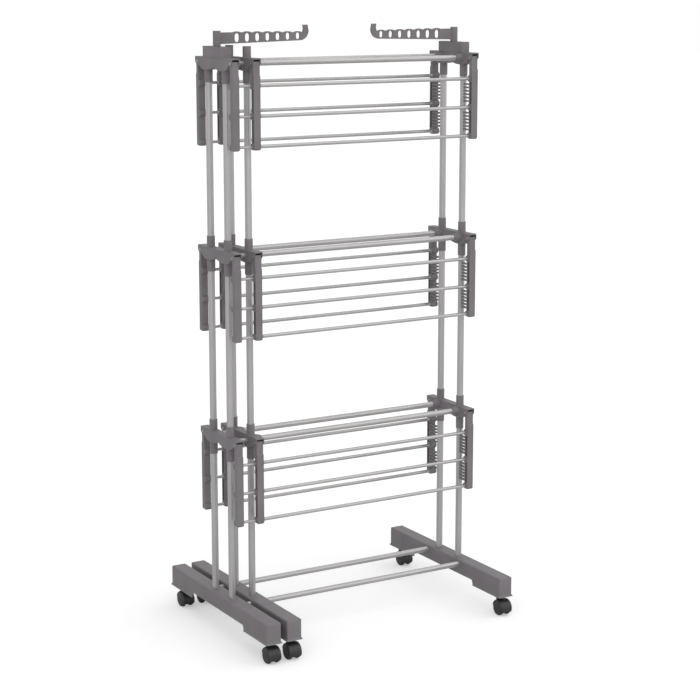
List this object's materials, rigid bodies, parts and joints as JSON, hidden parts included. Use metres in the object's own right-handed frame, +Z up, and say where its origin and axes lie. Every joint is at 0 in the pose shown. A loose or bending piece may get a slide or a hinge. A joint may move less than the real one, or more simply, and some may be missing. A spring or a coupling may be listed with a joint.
{
  "type": "clothes drying rack",
  "caption": "Tall tiered clothes drying tower on casters, with folding rod wings, telescoping width and swinging hanger arms at the top.",
  "frame": {"origin": "on the floor, in the middle of the rack's outline, pushed together", "axes": "X along the rods from the telescoping end to the fixed end, -Y the front, Z up"},
  "size_m": [0.8134, 0.6118, 1.701],
  "materials": {
    "plastic": "dark warm grey moulded plastic with a fine texture",
    "tube": "silver grey powder coat, satin",
    "caster_black": "black moulded plastic",
    "wheel_black": "black moulded plastic, slightly worn on the tread",
    "steel": "plain steel pin"
  },
  "bodies": {
    "main_frame": {"inner_foot": "plastic", "inner_posts": "tube", "inner_lower_bracket": "plastic", "inner_middle_bracket": "plastic", "inner_upper_bracket": "plastic", "inner_hinge_pins": "steel", "right_foot": "plastic", "right_posts": "tube", "right_lower_bracket": "plastic", "right_middle_bracket": "plastic", "right_upper_bracket": "plastic", "right_hinge_pins": "steel", "crossbars": "tube", "base_bars": "tube"},
    "end_frame": {"outer_foot": "plastic", "outer_posts": "tube", "outer_lower_bracket": "plastic", "outer_middle_bracket": "plastic", "outer_upper_bracket": "plastic", "outer_hinge_pins": "steel", "slide_crossbars": "tube", "slide_base_bars": "tube"},
    "front_lower_wing": {"front_lower_wing_arms": "plastic", "front_lower_wing_tubes": "tube"},
    "front_lower_slide": {"front_lower_slide_arm": "plastic", "front_lower_slide_rods": "tube"},
    "front_middle_wing": {"front_middle_wing_arms": "plastic", "front_middle_wing_tubes": "tube"},
    "front_middle_slide": {"front_middle_slide_arm": "plastic", "front_middle_slide_rods": "tube"},
    "front_upper_wing": {"front_upper_wing_arms": "plastic", "front_upper_wing_tubes": "tube"},
    "front_upper_slide": {"front_upper_slide_arm": "plastic", "front_upper_slide_rods": "tube"},
    "rear_lower_wing": {"rear_lower_wing_arms": "plastic", "rear_lower_wing_tubes": "tube"},
    "rear_lower_slide": {"rear_lower_slide_arm": "plastic", "rear_lower_slide_rods": "tube"},
    "rear_middle_wing": {"rear_middle_wing_arms": "plastic", "rear_middle_wing_tubes": "tube"},
    "rear_middle_slide": {"rear_middle_slide_arm": "plastic", "rear_middle_slide_rods": "tube"},
    "rear_upper_wing": {"rear_upper_wing_arms": "plastic", "rear_upper_wing_tubes": "tube"},
    "rear_upper_slide": {"rear_upper_slide_arm": "plastic", "rear_upper_slide_rods": "tube"},
    "left_hook": {"left_hook_arm": "plastic"},
    "right_hook": {"right_hook_arm": "plastic"},
    "outer_front_caster": {"outer_front_caster": "caster_black"},
    "outer_front_wheels": {"outer_front_wheels": "wheel_black"},
    "outer_rear_caster": {"outer_rear_caster": "caster_black"},
    "outer_rear_wheels": {"outer_rear_wheels": "wheel_black"},
    "inner_front_caster": {"inner_front_caster": "caster_black"},
    "inner_front_wheels": {"inner_front_wheels": "wheel_black"},
    "inner_rear_caster": {"inner_rear_caster": "caster_black"},
    "inner_rear_wheels": {"inner_rear_wheels": "wheel_black"},
    "right_front_caster": {"right_front_caster": "caster_black"},
    "right_front_wheels": {"right_front_wheels": "wheel_black"},
    "right_rear_caster": {"right_rear_caster": "caster_black"},
    "right_rear_wheels": {"right_rear_wheels": "wheel_black"}
  },
  "joints": [
    {"name": "extension_slide", "type": "slide", "parent": "main_frame", "child": "end_frame", "axis": [-1, 0, 0], "range_m": [0, 0.55]},
    {"name": "front_lower_fold", "type": "hinge", "parent": "main_frame", "child": "front_lower_wing", "pos_m": [0, -0.098, 0.567], "axis": [-1, 0, 0], "range_deg": [0, 90]},
    {"name": "front_lower_slide_fold", "type": "hinge", "parent": "end_frame", "child": "front_lower_slide", "pos_m": [0, -0.098, 0.567], "axis": [-1, 0, 0], "range_deg": [0, 90]},
    {"name": "front_middle_fold", "type": "hinge", "parent": "main_frame", "child": "front_middle_wing", "pos_m": [0, -0.098, 1.086], "axis": [-1, 0, 0], "range_deg": [0, 90]},
    {"name": "front_middle_slide_fold", "type": "hinge", "parent": "end_frame", "child": "front_middle_slide", "pos_m": [0, -0.098, 1.086], "axis": [-1, 0, 0], "range_deg": [0, 90]},
    {"name": "front_upper_fold", "type": "hinge", "parent": "main_frame", "child": "front_upper_wing", "pos_m": [0, -0.098, 1.605], "axis": [-1, 0, 0], "range_deg": [0, 90]},
    {"name": "front_upper_slide_fold", "type": "hinge", "parent": "end_frame", "child": "front_upper_slide", "pos_m": [0, -0.098, 1.605], "axis": [-1, 0, 0], "range_deg": [0, 90]},
    {"name": "rear_lower_fold", "type": "hinge", "parent": "main_frame", "child": "rear_lower_wing", "pos_m": [0, 0.098, 0.567], "axis": [1, 0, 0], "range_deg": [0, 90]},
    {"name": "rear_lower_slide_fold", "type": "hinge", "parent": "end_frame", "child": "rear_lower_slide", "pos_m": [0, 0.098, 0.567], "axis": [1, 0, 0], "range_deg": [0, 90]},
    {"name": "rear_middle_fold", "type": "hinge", "parent": "main_frame", "child": "rear_middle_wing", "pos_m": [0, 0.098, 1.086], "axis": [1, 0, 0], "range_deg": [0, 90]},
    {"name": "rear_middle_slide_fold", "type": "hinge", "parent": "end_frame", "child": "rear_middle_slide", "pos_m": [0, 0.098, 1.086], "axis": [1, 0, 0], "range_deg": [0, 90]},
    {"name": "rear_upper_fold", "type": "hinge", "parent": "main_frame", "child": "rear_upper_wing", "pos_m": [0, 0.098, 1.605], "axis": [1, 0, 0], "range_deg": [0, 90]},
    {"name": "rear_upper_slide_fold", "type": "hinge", "parent": "end_frame", "child": "rear_upper_slide", "pos_m": [0, 0.098, 1.605], "axis": [1, 0, 0], "range_deg": [0, 90]},
    {"name": "left_hook_swing", "type": "hinge", "parent": "end_frame", "child": "left_hook", "pos_m": [-0.3814, 0, 1.66], "axis": [0, 0, -1], "range_deg": [0, 180]},
    {"name": "right_hook_swing", "type": "hinge", "parent": "main_frame", "child": "right_hook", "pos_m": [0.3814, 0, 1.66], "axis": [0, 0, 1], "range_deg": [0, 180]},
    {"name": "outer_front_swivel", "type": "hinge", "parent": "end_frame", "child": "outer_front_caster", "pos_m": [-0.3814, -0.269, 0.05], "axis": [0, 0, 1], "continuous": true},
    {"name": "outer_front_roll", "type": "hinge", "parent": "outer_front_caster", "child": "outer_front_wheels", "pos_m": [-0.3814, -0.284, 0.022], "axis": [1, 0, 0], "continuous": true},
    {"name": "outer_rear_swivel", "type": "hinge", "parent": "end_frame", "child": "outer_rear_caster", "pos_m": [-0.3814, 0.269, 0.05], "axis": [0, 0, 1], "continuous": true},
    {"name": "outer_rear_roll", "type": "hinge", "parent": "outer_rear_caster", "child": "outer_rear_wheels", "pos_m": [-0.3814, 0.254, 0.022], "axis": [1, 0, 0], "continuous": true},
    {"name": "inner_front_swivel", "type": "hinge", "parent": "main_frame", "child": "inner_front_caster", "pos_m": [-0.3182, -0.269, 0.05], "axis": [0, 0, 1], "continuous": true},
    {"name": "inner_front_roll", "type": "hinge", "parent": "inner_front_caster", "child": "inner_front_wheels", "pos_m": [-0.3182, -0.284, 0.022], "axis": [1, 0, 0], "continuous": true},
    {"name": "inner_rear_swivel", "type": "hinge", "parent": "main_frame", "child": "inner_rear_caster", "pos_m": [-0.3182, 0.269, 0.05], "axis": [0, 0, 1], "continuous": true},
    {"name": "inner_rear_roll", "type": "hinge", "parent": "inner_rear_caster", "child": "inner_rear_wheels", "pos_m": [-0.3182, 0.254, 0.022], "axis": [1, 0, 0], "continuous": true},
    {"name": "right_front_swivel", "type": "hinge", "parent": "main_frame", "child": "right_front_caster", "pos_m": [0.3814, -0.269, 0.05], "axis": [0, 0, 1], "continuous": true},
    {"name": "right_front_roll", "type": "hinge", "parent": "right_front_caster", "child": "right_front_wheels", "pos_m": [0.3814, -0.284, 0.022], "axis": [1, 0, 0], "continuous": true},
    {"name": "right_rear_swivel", "type": "hinge", "parent": "main_frame", "child": "right_rear_caster", "pos_m": [0.3814, 0.269, 0.05], "axis": [0, 0, 1], "continuous": true},
    {"name": "right_rear_roll", "type": "hinge", "parent": "right_rear_caster", "child": "right_rear_wheels", "pos_m": [0.3814, 0.254, 0.022], "axis": [1, 0, 0], "continuous": true}
  ],
  "couplings": [
    {"joint": "front_lower_slide_fold", "follows": "front_lower_fold", "ratio": 1},
    {"joint": "front_middle_slide_fold", "follows": "front_middle_fold", "ratio": 1},
    {"joint": "front_upper_slide_fold", "follows": "front_upper_fold", "ratio": 1},
    {"joint": "rear_lower_slide_fold", "follows": "rear_lower_fold", "ratio": 1},
    {"joint": "rear_middle_slide_fold", "follows": "rear_middle_fold", "ratio": 1},
    {"joint": "rear_upper_slide_fold", "follows": "rear_upper_fold", "ratio": 1}
  ]
}
